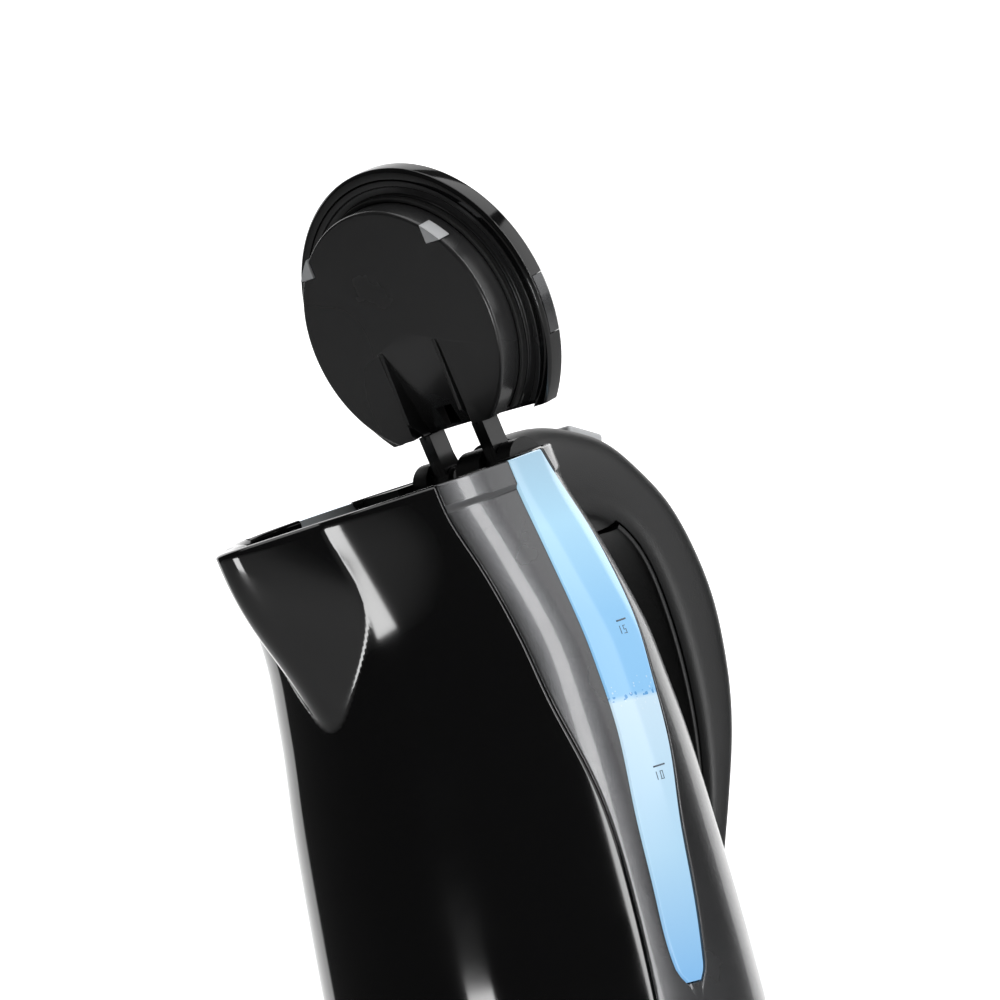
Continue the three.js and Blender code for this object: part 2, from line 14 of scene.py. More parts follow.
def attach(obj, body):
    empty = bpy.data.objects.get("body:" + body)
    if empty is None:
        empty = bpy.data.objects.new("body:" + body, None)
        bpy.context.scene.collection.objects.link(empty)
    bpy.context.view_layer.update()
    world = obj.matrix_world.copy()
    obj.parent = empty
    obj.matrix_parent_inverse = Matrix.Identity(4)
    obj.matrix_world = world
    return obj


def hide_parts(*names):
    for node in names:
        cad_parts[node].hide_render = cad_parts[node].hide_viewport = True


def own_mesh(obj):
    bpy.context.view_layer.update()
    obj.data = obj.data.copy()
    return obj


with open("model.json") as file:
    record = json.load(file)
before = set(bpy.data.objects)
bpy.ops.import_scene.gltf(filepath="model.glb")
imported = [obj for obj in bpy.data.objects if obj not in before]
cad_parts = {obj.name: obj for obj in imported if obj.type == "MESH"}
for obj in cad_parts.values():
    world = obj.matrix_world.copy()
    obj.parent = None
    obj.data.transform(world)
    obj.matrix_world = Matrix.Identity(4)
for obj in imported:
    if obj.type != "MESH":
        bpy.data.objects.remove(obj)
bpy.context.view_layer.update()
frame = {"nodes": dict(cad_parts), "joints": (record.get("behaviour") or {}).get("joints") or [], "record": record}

MM = 0.001
NODES = frame["nodes"]
JOINT = {j["name"]: j for j in frame["joints"]}

# ---- driving dimensions: the CAD's own, but for the beak's finer shape --------------
FOOT_Z = 15.3                   # foot of the jug, over the table
TIP_X, TIP_Z = -98.0, 226.0     # tip of the beak
RIM_TILT = math.radians(6.1)
WALL = 5.0                      # thickness of the jug's wall
MEAN_RADIUS = 60.0              # of the wall, to turn an angle into a length along it
PANEL = 2.4                     # thickness of a side panel
GAP = 0.3                       # clearance between neighbouring pieces
FLOOR_Z = 46.0
HINGE_X, _, HINGE_Z = [v / MM for v in JOINT["lid_hinge"]["pos_m"]]
LID_SWING = math.radians(83 - 6.1)  # the open lid's angle from level
LID_RADIUS = 54.0
LID_CENTRE = 54.5               # from the hinge's axis to the middle of the lid
LID_EDGE, LID_CROWN = 12.0, 17.5  # heights of the dome's edge and middle
PIN_BORE = 2.3                  # radius of the hinge pin's bore
BASE_RADIUS = 77.0
WATER_Z = 150.5
NOSE = 0.13                     # roundness of the beak's front, radians
FLUTE = 13.0                    # softness of the hollow where the beak leaves the body
COLLAR = 9.5                    # height of the plain band under the rim of a side panel

# height, centre, half length, half width, reach of the beak, half angle of the beak
SECTIONS = np.array([
    (15.3, 0, 73, 73, -20, 55),
    (60, 0, 72.6, 72.6, -20, 55),
    (107, 0, 70.4, 70.4, -30, 55),
    (141, 0, 68, 68, -53, 54),
    (160, -0.2, 66, 65.8, -65, 50),
    (172, -0.8, 64.9, 64.4, -71, 46),
    (186, -2.6, 63.3, 61.8, -79, 42),
    (198, -5.2, 62.8, 59.4, -86.5, 39),
    (211, -9, 62.4, 57.4, -93, 35),
    (226, -14, 61.5, 55.5, -97.5, 32),
    (252, -18, 61, 54, -101.5, 30),
])

# side-view outlines, as x and z
PANEL_FRONT = [(-20, 22), (-18, 60), (-17, 90), (-18.5, 122), (-24, 150), (-28, 179), (-34, 205),
               (-40, 222), (-42, 234)]
PANEL_BACK = [(56, 22), (56, 60), (55, 110), (53, 160), (48, 195), (40, 222), (31, 240)]
WINDOW_FRONT = [(-1.5, 45), (-4, 53.5), (-6.6, 57), (-7.5, 60), (-7.5, 85), (-6.1, 113), (-3.3, 140),
                (-3, 154), (-4, 175), (-6.8, 208), (-10.3, 234)]
WINDOW_BACK = [(-0.5, 45), (2.5, 53.5), (5, 57), (6, 60), (11, 85), (15.3, 110), (21, 130), (24.5, 150),
               (28, 171), (29.5, 188), (27.5, 206), (20, 224), (10.8, 240)]
HANDLE_OUTER = [(37, 246), (50, 247.6), (68, 244.4), (81, 239), (92, 229.5), (102.4, 217.5),
                (110.6, 199.5), (114.6, 180), (114.4, 165), (112, 148), (107, 131.5), (100, 115.5),
                (91, 97), (82, 78), (73, 52)]
HANDLE_INNER = [(48, 213), (64, 213), (74, 209), (82, 200), (87.5, 182), (89.5, 154), (87, 127),
                (80, 101), (74, 86), (69.5, 74)]


# ---- small geometry tools -----------------------------------------------------------
def spline(knots, values):
    """A natural cubic spline through the points, as a function on arrays."""
    x, y = np.asarray(knots, float), np.asarray(values, float)
    n, h = len(x), np.diff(x)
    a, b = np.eye(n), np.zeros(n)
    for i in range(1, n - 1):
        a[i, i - 1:i + 2] = h[i - 1], 2 * (h[i - 1] + h[i]), h[i]
        b[i] = 6 * ((y[i + 1] - y[i]) / h[i] - (y[i] - y[i - 1]) / h[i - 1])
    m = np.linalg.solve(a, b)

    def value(q):
        q = np.clip(q, x[0], x[-1])
        i = np.clip(np.searchsorted(x, q) - 1, 0, n - 2)
        s, t, w = x[i + 1] - q, q - x[i], h[i]
        return ((m[i] * s ** 3 + m[i + 1] * t ** 3) / (6 * w)
                + (y[i] / w - m[i] * w / 6) * s + (y[i + 1] / w - m[i + 1] * w / 6) * t)
    return value


def height_curve(points):
    """A side-view line as x at each height."""
    return spline([p[1] for p in points], [p[0] for p in points])


def along(points, count):
    """A smooth path through 2-D points, evenly sampled, as an array."""
    p = np.asarray(points, float)
    knots = np.concatenate([[0], np.cumsum(np.hypot(*np.diff(p, axis=0).T))])
    q = np.linspace(0, knots[-1], count)
    return np.stack([spline(knots, p[:, 0])(q), spline(knots, p[:, 1])(q)], -1)


def smoothstep(x):
    x = np.clip(x, 0, 1)
    return x * x * (3 - 2 * x)


def make(name, points, faces, materials, smooth=True, matrix=None):
    """A mesh object from points in millimetres, with one material or several."""
    mesh = bpy.data.meshes.new(name)
    mesh.from_pydata([tuple(p) for p in np.asarray(points, float) * MM], [], faces)
    obj = bpy.data.objects.new(name, mesh)
    bpy.context.scene.collection.objects.link(obj)
    for m in materials if isinstance(materials, (list, tuple)) else [materials]:
        mesh.materials.append(m)
    if matrix is not None:
        mesh.transform(matrix)
    mesh.validate()
    mesh.update()
    smooth_faces(mesh, smooth)
    return obj


def smooth_faces(mesh, smooth=True):
    mesh.polygons.foreach_set("use_smooth", [smooth] * len(mesh.polygons))


def paint(obj, material):
    """Gives a whole piece one material."""
    obj.data.materials.clear()
    obj.data.materials.append(material)


def grid_faces(rows, cols, wrap_rows=False):
    """Faces between rows of points, each row a closed loop."""
    faces = []
    for r in range(rows if wrap_rows else rows - 1):
        a, b = r * cols, (r + 1) % rows * cols
        for c in range(cols):
            d = (c + 1) % cols
            faces.append((a + c, a + d, b + d, b + c))
    return faces


def end_faces(rows, cols):
    """The two flat ends of a stack of closed loops."""
    return [tuple(range(cols - 1, -1, -1)), tuple(range((rows - 1) * cols, rows * cols))]


def soft_edges(obj, width, segments):
    """Rounds the sharp edges of a piece and smooths the rest."""
    bevel = obj.modifiers.new("round", "BEVEL")
    bevel.width = width * MM
    bevel.segments = segments
    bevel.limit_method = "ANGLE"
    bevel.angle_limit = math.radians(35)
    bevel.harden_normals = True
    smooth_faces(obj.data)


def turned(name, profile, material, sides=160, centre=(0, 0), matrix=None):
    """A piece turned about Z from a closed profile of radius and height."""
    profile = np.asarray(profile, float)
    angles = np.linspace(0, 2 * math.pi, sides, endpoint=False)
    r, z = profile[:, 0][:, None], profile[:, 1][:, None]
    points = np.stack([centre[0] + r * np.cos(angles), centre[1] + r * np.sin(angles),
                       np.broadcast_to(z, (len(profile), sides))], -1)
    faces = grid_faces(len(profile), sides, wrap_rows=True)
    obj = make(name, points.reshape(-1, 3), faces, material, matrix=matrix)
    weld(obj)
    return obj


def weld(obj, distance=1e-6):
    """Merges points that meet, within a distance in metres, and turns all faces outward."""
    bm = bmesh.new()
    bm.from_mesh(obj.data)
    bmesh.ops.remove_doubles(bm, verts=bm.verts, dist=distance)
    bmesh.ops.recalc_face_normals(bm, faces=bm.faces)
    bm.to_mesh(obj.data)
    bm.free()
    smooth_faces(obj.data)


def rounded(profile, radius, steps=4):
    """A closed profile with each corner turned into a short arc."""
    p = np.asarray(profile, float)
    out = []
    for i in range(len(p)):
        a, b, c = p[i - 1], p[i], p[(i + 1) % len(p)]
        if b[0] == 0:
            out.append(b)
            continue
        before, after = np.linalg.norm(a - b), np.linalg.norm(c - b)
        cut = min(radius, before * 0.45, after * 0.45)
        start, end = b + (a - b) / before * cut, b + (c - b) / after * cut
        for k in range(steps + 1):
            t = k / steps
            out.append((1 - t) ** 2 * start + 2 * t * (1 - t) * b + t * t * end)
    return np.array(out)


def place(obj, body, slot, *replaced):
    """Ties a piece to the body it rides on and hides the CAD node it replaces; the material slot argument is not
    used.
    """
    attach(obj, body)
    if replaced:
        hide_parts(*replaced)
    return obj


# ---- the jug's wall as a surface ----------------------------------------------------
TABLE = [spline(SECTIONS[:, 0], SECTIONS[:, k]) for k in range(1, 6)]


def rim(x):
    """Height of the sloping rim."""
    return TIP_Z + (x - TIP_X) * math.tan(RIM_TILT)


def outline(z, angle, inset):
    """Centre and radius of the level section at each height and angle, moved in by inset."""
    cx, ax, by, tip, beak = [f(z) for f in TABLE]
    b = np.radians(beak)
    oval = 1 / np.hypot(np.cos(angle) / (ax - inset), np.sin(angle) / (by - inset))
    off = np.abs(math.pi - angle)
    off = np.hypot(off, NOSE) - NOSE
    crest = math.pi / 2 - b
    wedge = (cx - tip - inset / np.sin(b)) * np.sin(b)
    wedge = wedge * np.where(off < crest, 1 / np.sin(np.minimum(b + off, math.pi / 2)),
                             np.maximum(0, np.cos(off - crest)))
    gap = np.abs(oval - wedge)
    return cx, (oval + wedge + np.hypot(gap, FLUTE) - FLUTE ** 2 / (FLUTE + gap)) / 2


def wall(angle, t, inset, raised, foot=FOOT_Z):
    """Points of the wall: t runs from foot to rim, angle from the handle round to the spout."""
    angle, t, inset, raised = np.broadcast_arrays(angle, t, inset, raised)
    x = np.zeros(angle.shape)
    for _ in range(10):
        z = foot + t * (rim(x) - foot) + raised
        cx, r = outline(z, angle, inset)
        x = cx + r * np.cos(angle)
    return np.stack([x, r * np.sin(angle), z], -1)


def border(curve, t):
    """The angle at which a side-view line lies on the wall, for each t."""
    value = height_curve(sorted(curve, key=lambda p: p[1]))
    z = FOOT_Z + t * (rim(0) - FOOT_Z)
    for _ in range(8):
        x = value(z)
        z = FOOT_Z + t * (rim(x) - FOOT_Z)
    angle = np.full(t.shape, math.pi / 2)
    for _ in range(30):
        cx, r = outline(z, angle, 0)
        angle = np.arccos(np.clip((x - cx) / r, -1, 1))
    return angle


def rolled(distance, radius):
    """How far a rounded edge has fallen at a distance from its end."""
    d = np.clip(radius - distance, 0, radius)
    return radius - np.sqrt(radius ** 2 - d ** 2)


def fan(a, b, fractions):
    """Columns spread between two borders, one row for each height."""
    return a[:, None] + (b - a)[:, None] * np.asarray(fractions)[None, :]


def eased(count, roll=0.0, length=40.0):
    """Fractions from 0 to 1 with extra ones close to both ends, for the rolled edges."""
    near = np.array([0, 0.15, 0.4, 0.8, 1.4]) * roll / length
    even = np.linspace(0, 1, count)
    if not roll:
        return even
    even = even[(even > near[-1] * 1.2) & (even < 1 - near[-1] * 1.2)]
    return np.concatenate([near, even, 1 - near[::-1]])


def skin(name, materials, angle, t, outer, inner, keep=None, raised=0.0, side=1, ends=True):
    """A closed piece of wall between two insets over a grid of angles and heights."""
    rows, cols = angle.shape
    keep = np.ones((rows - 1, cols - 1), bool) if keep is None else keep
    points = np.concatenate([wall(angle, t, outer, raised).reshape(-1, 3),
                             wall(angle, t, inner, raised).reshape(-1, 3)])
    points[:, 1] *= side
    n, faces = rows * cols, []
    for r, c in zip(*np.nonzero(keep)):
        a, b, d, e = r * cols + c, r * cols + c + 1, (r + 1) * cols + c + 1, (r + 1) * cols + c
        faces += [(a, b, d, e), (n + e, n + d, n + b, n + a)]
        if r == 0 or not keep[r - 1, c]:
            faces.append((b, a, n + a, n + b))
        if r == rows - 2 or not keep[r + 1, c]:
            faces.append((e, d, n + d, n + e))
        if (c == 0 and ends) or (c and not keep[r, c - 1]):
            faces.append((a, e, n + e, n + a))
        if (c == cols - 2 and ends) or (c < cols - 2 and not keep[r, c + 1]):
            faces.append((d, b, n + b, n + d))
    obj = make(name, points, faces, materials)
    weld(obj)
    return sharp(obj)


def sharp(obj, angle=40):
    obj.data.set_sharp_from_angle(angle=math.radians(angle))
    return obj


def solid_jug(name, inset, foot, top):
    """The space inside the wall as one solid, for cutting, with its top edge moved up by top."""
    rows, sides = 60, 180
    angle = np.linspace(0, 2 * math.pi, sides, endpoint=False)[None, :]
    t = np.linspace(0, 1, rows)[:, None]
    points = wall(angle, t, inset, t * top, foot).reshape(-1, 3)
    obj = make(name, points, grid_faces(rows, sides) + end_faces(rows, sides), [])
    weld(obj)
    return obj


def block(name, low, high, matrix=None):
    corners = [(x, y, z) for x in (low[0], high[0]) for y in (low[1], high[1]) for z in (low[2], high[2])]
    faces = [(0, 1, 3, 2), (4, 6, 7, 5), (0, 4, 5, 1), (2, 3, 7, 6), (0, 2, 6, 4), (1, 5, 7, 3)]
    return make(name, corners, faces, [], smooth=False, matrix=matrix)


def rod_y(name, radius, y0, y1, x=0.0, z=0.0, matrix=None):
    """A round bar that lies across the kettle."""
    turn = Matrix.Translation(Vector((x, 0, z)) * MM) @ Matrix.Rotation(math.radians(-90), 4, "X")
    profile = [(0, y0), (radius, y0), (radius, y1), (0, y1)]
    return turned(name, profile, [], 64, matrix=matrix @ turn if matrix else turn)


def slab(name, points, y0, y1, material, matrix):
    """A side-view outline given thickness across the kettle."""
    n = len(points)
    corners = [(x, y, z) for y in (y0, y1) for x, z in points]
    faces = [tuple(range(n)), tuple(range(2 * n - 1, n - 1, -1))]
    faces += [(i, n + i, n + (i + 1) % n, (i + 1) % n) for i in range(n)]
    obj = make(name, corners, faces, material, smooth=False, matrix=matrix)
    weld(obj)
    return sharp(obj)


def carve(obj, operation, *tools):
    """Cuts, adds or keeps what the other shapes cover, and removes those shapes."""
    for tool in tools:
        modifier = obj.modifiers.new("cut", "BOOLEAN")
        modifier.operation = operation
        modifier.solver = "EXACT"
        modifier.object = tool
        bpy.context.view_layer.update()
        evaluated = obj.evaluated_get(bpy.context.evaluated_depsgraph_get())
        mesh = bpy.data.meshes.new_from_object(evaluated)
        obj.modifiers.clear()
        obj.data = mesh
        bpy.data.objects.remove(tool)
    smooth_faces(obj.data)
    return sharp(obj)


# ---- materials ----------------------------------------------------------------------
EDGE_SOFTNESS = 0.35


def shader(name, colour, rough, metal=0.0, grain=0.0, grain_size=0.3, smudge=0.04, coat=0.0, tone=0.06,
           strength=0.05):
    """A principled material with uneven gloss, a fine moulded grain and softened edges."""
    m = bpy.data.materials.new(name)
    m.use_nodes = True
    nodes, links = m.node_tree.nodes, m.node_tree.links
    b = nodes["Principled BSDF"]
    b.inputs["Metallic"].default_value = metal
    b.inputs["IOR"].default_value = 1.5
    b.inputs["Coat Weight"].default_value = coat
    b.inputs["Coat Roughness"].default_value = 0.06
    where = nodes.new("ShaderNodeTexCoord")

    def noise(scale, detail):
        n = nodes.new("ShaderNodeTexNoise")
        n.inputs["Scale"].default_value = scale
        n.inputs["Detail"].default_value = detail
        links.new(where.outputs["Object"], n.inputs["Vector"])
        return n.outputs["Fac"]

    def spread(value, low, high):
        r = nodes.new("ShaderNodeMapRange")
        r.inputs["From Min"].default_value = 0.3
        r.inputs["From Max"].default_value = 0.7
        r.inputs["To Min"].default_value = low
        r.inputs["To Max"].default_value = high
        links.new(value, r.inputs["Value"])
        return r.outputs["Result"]

    patches = noise(28, 4)
    links.new(spread(patches, max(0.02, rough - smudge), rough + smudge), b.inputs["Roughness"])
    mix = nodes.new("ShaderNodeMix")
    mix.data_type = "RGBA"
    mix.inputs["A"].default_value = (*[c * (1 - tone) for c in colour], 1)
    mix.inputs["B"].default_value = (*[c * (1 + tone) for c in colour], 1)
    links.new(spread(noise(9, 2), 0, 1), mix.inputs["Factor"])
    links.new(mix.outputs["Result"], b.inputs["Base Color"])
    edge = nodes.new("ShaderNodeBevel")
    edge.samples = 4
    edge.inputs["Radius"].default_value = EDGE_SOFTNESS * MM
    normal = edge.outputs["Normal"]
    if grain:
        bump = nodes.new("ShaderNodeBump")
        bump.inputs["Strength"].default_value = strength
        bump.inputs["Distance"].default_value = grain * MM
        links.new(noise(1 / (grain_size * MM), 2), bump.inputs["Height"])
        links.new(normal, bump.inputs["Normal"])
        normal = bump.outputs["Normal"]
    links.new(normal, b.inputs["Normal"])
    return m


GLOSS_BLACK = shader("gloss_black", (0.002, 0.002, 0.0022), 0.09, smudge=0.03, coat=0.1)
SATIN_BLACK = shader("satin_black", (0.008, 0.0082, 0.0086), 0.38, grain=0.3, grain_size=0.45,
                     strength=0.25)
LID_BLACK = shader("lid_black", (0.021, 0.021, 0.0215), 0.24, smudge=0.05, coat=0.1)
SILVER = shader("silver_panel", (0.08, 0.081, 0.084), 0.25, metal=0.8, grain=0.12, grain_size=0.16,
                strength=0.2, coat=0.5)
LIGHT_GREY = shader("light_grey", (0.5, 0.51, 0.52), 0.42, grain=0.2, grain_size=0.4, strength=0.15)
STEEL = shader("steel", (0.55, 0.55, 0.56), 0.24, metal=1.0, grain=0.1, grain_size=0.2, strength=0.15)
BRASS = shader("brass", (0.62, 0.43, 0.16), 0.28, metal=1.0)
RUBBER = shader("rubber", (0.02, 0.02, 0.02), 0.75, grain=0.5, grain_size=0.6, strength=0.3)
WHITE = shader("white_plastic", (0.72, 0.71, 0.67), 0.45)


def window_painted_glow_material():
    """Clear tinted plastic whose blue glow is painted in as emission, as if lit from below, with the water's
    surface and its bubbles drawn in the same glow.
    """
    ripple_height, line_height, bubble_depth = 0.002, 0.0009, 0.006
    m = bpy.data.materials.new("window_blue")
    m.use_nodes = True
    nodes, links = m.node_tree.nodes, m.node_tree.links
    b = nodes["Principled BSDF"]
    where = nodes.new("ShaderNodeTexCoord")
    split = nodes.new("ShaderNodeSeparateXYZ")
    links.new(where.outputs["Object"], split.inputs["Vector"])

    def maths(operation, a, b):
        n = nodes.new("ShaderNodeMath")
        n.operation = operation
        for socket, value in zip(n.inputs, (a, b)):
            if isinstance(value, float):
                socket.default_value = value
            else:
                links.new(value, socket)
        return n.outputs["Value"]

    def fraction(value, low, high):
        """Where a value lies between two others, from 0 to 1."""
        r = nodes.new("ShaderNodeMapRange")
        r.inputs["From Min"].default_value = low
        r.inputs["From Max"].default_value = high
        links.new(value, r.inputs["Value"])
        return r.outputs["Result"]

    def ramp(value, stops):
        r = nodes.new("ShaderNodeValToRGB")
        elements = r.color_ramp.elements
        while len(elements) < len(stops):
            elements.new(0.5)
        for e, (place, colour) in zip(elements, stops):
            e.position = place
            e.color = (*colour, 1)
        links.new(value, r.inputs["Fac"])
        return r.outputs["Color"]

    def blend_in(a, colour, factor):
        n = nodes.new("ShaderNodeMix")
        n.data_type = "RGBA"
        links.new(factor, n.inputs["Factor"])
        links.new(a, n.inputs["A"])
        n.inputs["B"].default_value = (*colour, 1)
        return n.outputs["Result"]

    # Painted glow: the pane emits these colours itself, brighter or greyer by height, in place of light shining
    # through the water; it is no lamp.
    height = fraction(split.outputs["Z"], 0.05, 0.24)
    glow = ramp(height, [(0.0, (0.20, 0.46, 0.80)), (0.25, (0.45, 0.68, 0.86)), (0.52, (0.63, 0.79, 0.90)),
                         (0.532, (0.27, 0.56, 0.88)), (0.68, (0.30, 0.59, 0.89)), (0.85, (0.46, 0.74, 0.93)),
                         (1.0, (0.40, 0.57, 0.69))])
    ripple = nodes.new("ShaderNodeTexNoise")
    ripple.inputs["Scale"].default_value = 55
    ripple.inputs["Detail"].default_value = 3
    links.new(where.outputs["Object"], ripple.inputs["Vector"])
    wave = maths("MULTIPLY", ripple.outputs["Fac"], ripple_height)
    middle = WATER_Z * MM + ripple_height / 2
    above = maths("SUBTRACT", maths("ADD", split.outputs["Z"], wave), middle)
    from_surface = maths("ABSOLUTE", above, 0.0)
    bubbles = nodes.new("ShaderNodeTexVoronoi")
    bubbles.inputs["Scale"].default_value = 520
    links.new(where.outputs["Object"], bubbles.inputs["Vector"])
    dots = maths("LESS_THAN", bubbles.outputs["Distance"], 0.45)
    line = maths("MULTIPLY", maths("LESS_THAN", from_surface, line_height), dots)
    glow = blend_in(glow, (0.10, 0.32, 0.66), line)
    specks = maths("LESS_THAN", bubbles.outputs["Distance"], 0.2)
    band = maths("MULTIPLY", maths("LESS_THAN", from_surface, bubble_depth), specks)
    glow = blend_in(glow, (0.80, 0.90, 0.96), maths("MULTIPLY", band, 0.5))
    b.inputs["Base Color"].default_value = (0.05, 0.09, 0.13, 1)
    links.new(glow, b.inputs["Emission Color"])
    b.inputs["Emission Strength"].default_value = 0.93
    b.inputs["Roughness"].default_value = 0.12
    return m


WINDOW = window_painted_glow_material()
# Painted light: the inside faces of the windows are a pale grey standing in for the light that shows through the
# clear pane.
PANE_BACK_PAINTED_LIGHT = shader("pane_back_painted_light", (0.52, 0.55, 0.57), 0.25)
MARK = shader("mark_print", (0.12, 0.15, 0.19), 0.5)

FINISH = {
    "gloss_black": GLOSS_BLACK,
    "satin_black": SATIN_BLACK,
    "silver_panel": SILVER,
    "window_blue": WINDOW,
    "light_grey": LIGHT_GREY,
    "steel": STEEL,
    "brass": BRASS,
    "rubber": RUBBER,
    "white_plastic": WHITE,
}
SLOT_OF = {p["node"]: p["material_slot"] for p in frame["record"]["subparts"]}


def dress_cad():
    """Every CAD piece that stays in view takes the finish of its own slot."""
    for name, node in NODES.items():
        finish = FINISH[SLOT_OF[name]]
        for slot in node.material_slots:
            slot.material = finish
        if not node.material_slots:
            node.data.materials.append(finish)
        smooth_faces(node.data)
        sharp(node, 32)


# ---- jug shell, side panels and water windows ---------------------------------------
PANEL_FOOT_Z, WINDOW_FOOT_Z = 22.0, 53.5
HEIGHT = rim(0) - FOOT_Z
LIP = 1.3                       # height of the rounded lip along the rim
LIP_ROWS = 7


def t_rows(low, high, count, roll=0.0):
    """Heights from low to high as parts of the wall, with extra ones at rolled ends."""
    a, b = (low - FOOT_Z) / HEIGHT, (high - FOOT_Z) / HEIGHT
    return a + (b - a) * eased(count, roll, high - low)


def edges_at(t):
    """Angles of the panel's and the window's borders at each height, from the handle to the spout."""
    return [border(curve, t) for curve in (PANEL_BACK, WINDOW_BACK, WINDOW_FRONT, PANEL_FRONT)]


def to_edge(angle, line):
    """Distance along the wall from each column to a border."""
    return np.abs(angle - line[:, None]) * MEAN_RADIUS


def make_shell():
    """The jug's wall, with a shallow bed for each side panel, an opening for each window and a rolled lip."""
    lower = t_rows(FOOT_Z, PANEL_FOOT_Z, 5)
    middle = t_rows(PANEL_FOOT_Z, WINDOW_FOOT_Z, 12)
    upper = np.concatenate([t_rows(WINDOW_FOOT_Z, rim(0), 90)[:-1], [1.0] * LIP_ROWS])
    t = np.concatenate([lower, middle, upper])
    below_lip = len(t) - LIP_ROWS
    panel_row = len(lower)
    window_row = len(lower) + len(middle)
    panel_back, window_back, window_front, panel_front = edges_at(t)
    roll = 0.7
    back = fan(np.zeros_like(t), panel_back, eased(26, roll))
    behind = fan(panel_back, window_back, eased(9))
    pane = fan(window_back, window_front, eased(9))[:, 1:-1]
    ahead = fan(window_front, panel_front, eased(9))
    front = fan(panel_front, np.full_like(t, math.pi), eased(64, roll))
    angle = np.concatenate([back, behind, pane, ahead, front], 1)
    bed = np.zeros(angle.shape)
    bed[panel_row:, back.shape[1]:angle.shape[1] - front.shape[1]] = PANEL + GAP
    bed[panel_row:, :back.shape[1]] = rolled(to_edge(back, panel_back), roll)[panel_row:]
    bed[panel_row:, -front.shape[1]:] = rolled(to_edge(front, panel_front), roll)[panel_row:]
    turn = np.linspace(0, math.pi / 2, LIP_ROWS)
    closing = np.concatenate([np.zeros(below_lip), 1 - np.cos(turn)])[:, None]
    rise = np.concatenate([np.zeros(below_lip), np.sin(turn)])[:, None]
    half = (WALL - bed) / 2
    outer = bed + half * closing
    inner = WALL - half * closing
    raised = LIP * (rise - 1) + np.zeros(angle.shape)
    raised[:below_lip] = -LIP * t[:below_lip, None]
    keep = np.ones((len(t) - 1, angle.shape[1] - 1), bool)
    first = back.shape[1] + behind.shape[1] - 1
    keep[window_row:, first:first + pane.shape[1] + 1] = False
    halves = [skin("jug_body_wall", GLOSS_BLACK, angle, t[:, None], outer, inner, keep, raised, side, False)
              for side in (1, -1)]
    body = join("jug_body_moulding", halves)
    weld(body, 2e-6)
    ledge = turned("jug_ledge", [(57, 40), (68.6, 40), (68.6, FLOOR_Z), (57, FLOOR_Z)], GLOSS_BLACK)
    body = join("jug_body_moulding", [body, ledge])
    place(sharp(body, 35), "jug", "gloss_black", "jug_body")


def join(name, objs):
    """Several pieces of one moulding as one mesh."""
    points, faces, start = [], [], 0
    for o in objs:
        points += [tuple(v.co / MM) for v in o.data.vertices]
        faces += [tuple(start + i for i in f.vertices) for f in o.data.polygons]
        start += len(o.data.vertices)
    finish = objs[0].data.materials[0]
    for o in objs:
        bpy.data.objects.remove(o)
    return make(name, points, faces, finish)


def crease(t):
    """The panel's face steps in below its plain collar and comes back out lower down."""
    depth = (1 - t) * HEIGHT
    return smoothstep((depth - COLLAR + 1.2) / 1.6) * (1.1 - 0.8 * smoothstep((depth - COLLAR) / 38))


def make_panel(side, name):
    roll = 0.6
    away = GAP / MEAN_RADIUS
    collar_row = rim(0) - COLLAR - 3
    lower = t_rows(PANEL_FOOT_Z + GAP, WINDOW_FOOT_Z - GAP, 14)[:-1]
    t = np.concatenate([lower, t_rows(WINDOW_FOOT_Z - GAP, collar_row, 60)[:-1],
                        t_rows(collar_row, rim(0) - 0.2, 16, roll)[5:]])
    window_row = len(lower)
    panel_back, window_back, window_front, panel_front = edges_at(t)
    rear = fan(panel_back + away, window_back - away, eased(12, roll, 20))
    pane = fan(window_back - away, window_front + away, eased(9))[:, 1:-1]
    front = fan(window_front + away, panel_front - away, eased(18, roll, 25))
    angle = np.concatenate([rear, pane, front], 1)
    edge = np.minimum(to_edge(angle, panel_back + away), to_edge(angle, panel_front - away))
    beside = np.minimum(to_edge(angle, window_back - away), to_edge(angle, window_front + away))
    beside[:window_row] = roll
    foot = (t[:, None] - t[0]) * HEIGHT
    top = (t[-1] - t[:, None]) * HEIGHT
    outer = sum(rolled(d, roll) for d in (edge, beside, foot, top)) + crease(t)[:, None]
    outer = np.minimum(outer, PANEL - 0.4)
    keep = np.ones((len(t) - 1, angle.shape[1] - 1), bool)
    first = rear.shape[1] - 1
    keep[window_row:, first:first + pane.shape[1] + 1] = False
    back_face = np.full(outer.shape, PANEL)
    panel = skin(f"{name}_skin", SILVER, angle, t[:, None], outer, back_face, keep, side=side)
    place(panel, "jug", "silver_panel", name)


def make_window(side, name):
    roll = 0.5
    away = GAP / MEAN_RADIUS
    bend = WINDOW_FOOT_Z + 8
    t = np.concatenate([t_rows(WINDOW_FOOT_Z + GAP, bend, 8)[:-1], t_rows(bend, rim(0) - 0.4, 80, roll)[5:]])
    _, window_back, window_front, _ = edges_at(t)
    angle = fan(window_back + away, window_front - away, eased(14, roll, 20))
    edge = np.minimum(to_edge(angle, window_back + away), to_edge(angle, window_front - away))
    top = (t[-1] - t[:, None]) * HEIGHT
    outer = 0.4 + rolled(edge, roll) + rolled(top, roll)
    inner = np.full(outer.shape, WALL - 0.4)
    pane = skin(f"{name}_pane", [WINDOW, PANE_BACK_PAINTED_LIGHT], angle, t[:, None], outer, inner, side=side)
    # The inward faces take the pale grey of painted light.
    for face in pane.data.polygons:
        face.material_index = int(face.normal.y * side < -0.3)
    place(pane, "jug", "window_blue", name)


def stroke(side, x0, x1, z, thick):
    """A short printed line on the window, a hair above its face."""
    t = np.linspace(z - thick / 2, z + thick / 2, 3)
    t = (t - FOOT_Z) / (rim(x0) - FOOT_Z)
    a, b = [border([(x, 10), (x, 100), (x, 260)], t) for x in (x0, x1)]
    angle = fan(a, b, np.linspace(0, 1, 5))
    outer, inner = np.full(angle.shape, 0.22), np.full(angle.shape, 0.36)
    return skin("mark", MARK, angle, t[:, None], outer, inner, side=side)


